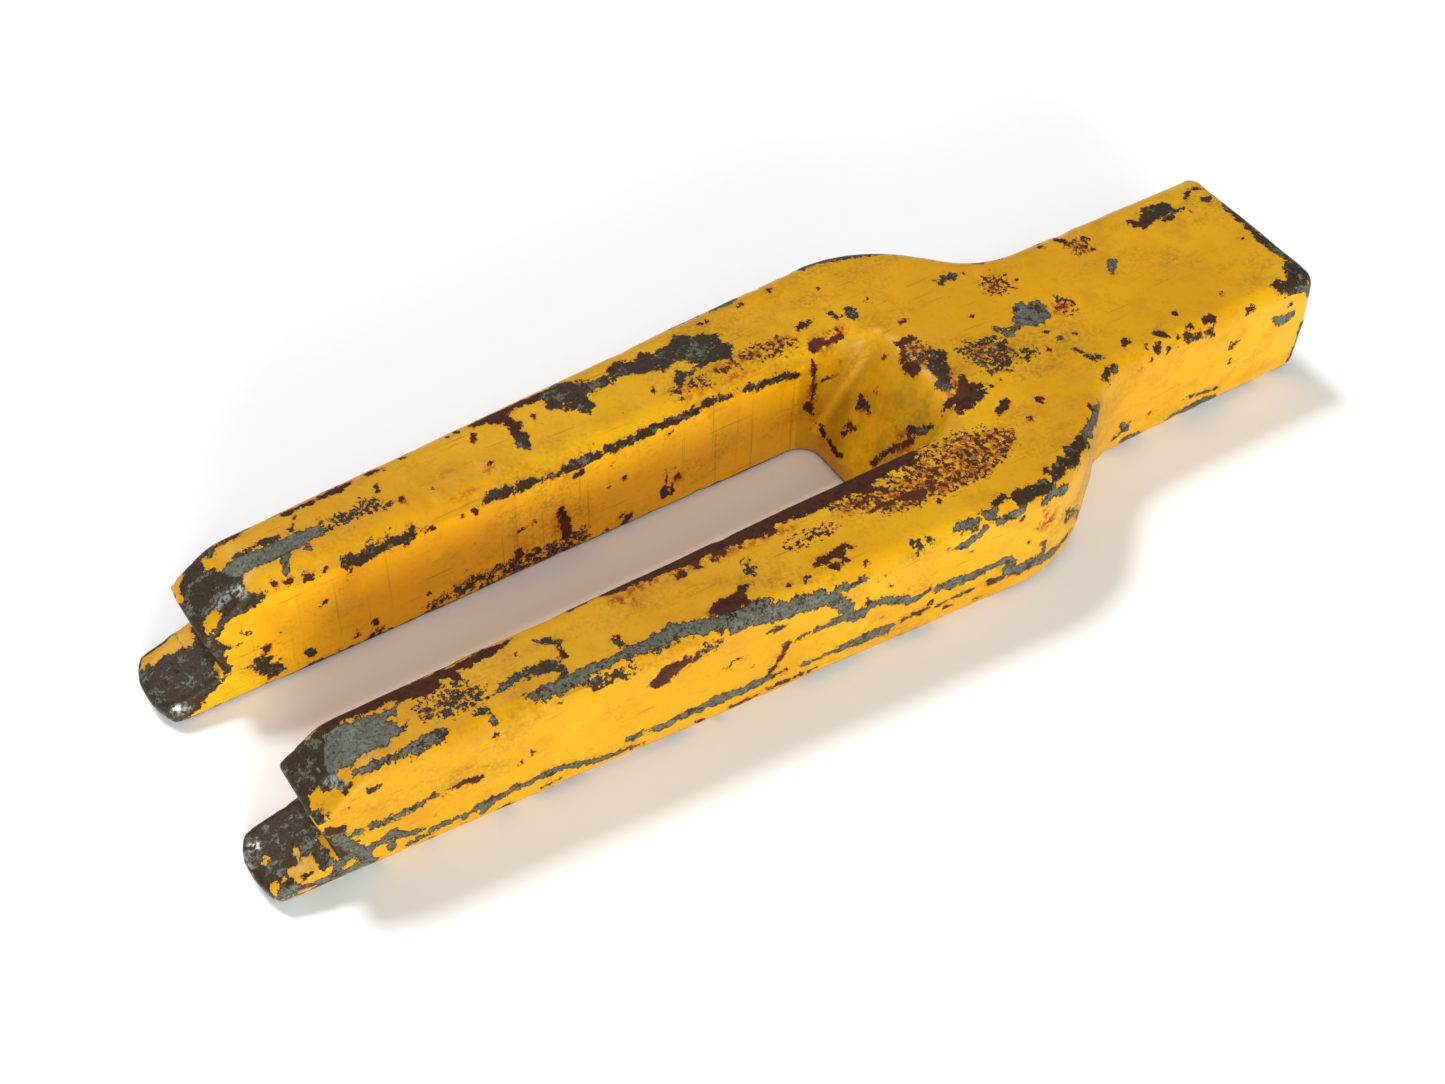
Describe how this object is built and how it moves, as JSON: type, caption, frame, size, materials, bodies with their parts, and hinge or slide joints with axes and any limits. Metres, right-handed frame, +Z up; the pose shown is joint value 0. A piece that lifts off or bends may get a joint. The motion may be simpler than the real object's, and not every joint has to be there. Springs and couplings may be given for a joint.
{
  "type": "beam clamp fork",
  "caption": "Forged steel fork with notched tine tips, a milled slot, a waisted neck and a plain rectangular shank, in chipped yellow paint.",
  "frame": {"origin": "middle of the footprint, on the underside of the forging", "axes": "+X from the notched tips to the shank end, +Y across the fork, +Z up from the underside to the face with the sloped hollow"},
  "size_m": [0.409, 0.133, 0.044],
  "materials": {
    "worn_yellow_paint": "amber-yellow enamel, chipped to grey and rust-brown steel"
  },
  "bodies": {
    "root": {"fork_forging": "worn_yellow_paint"}
  },
  "joints": []
}
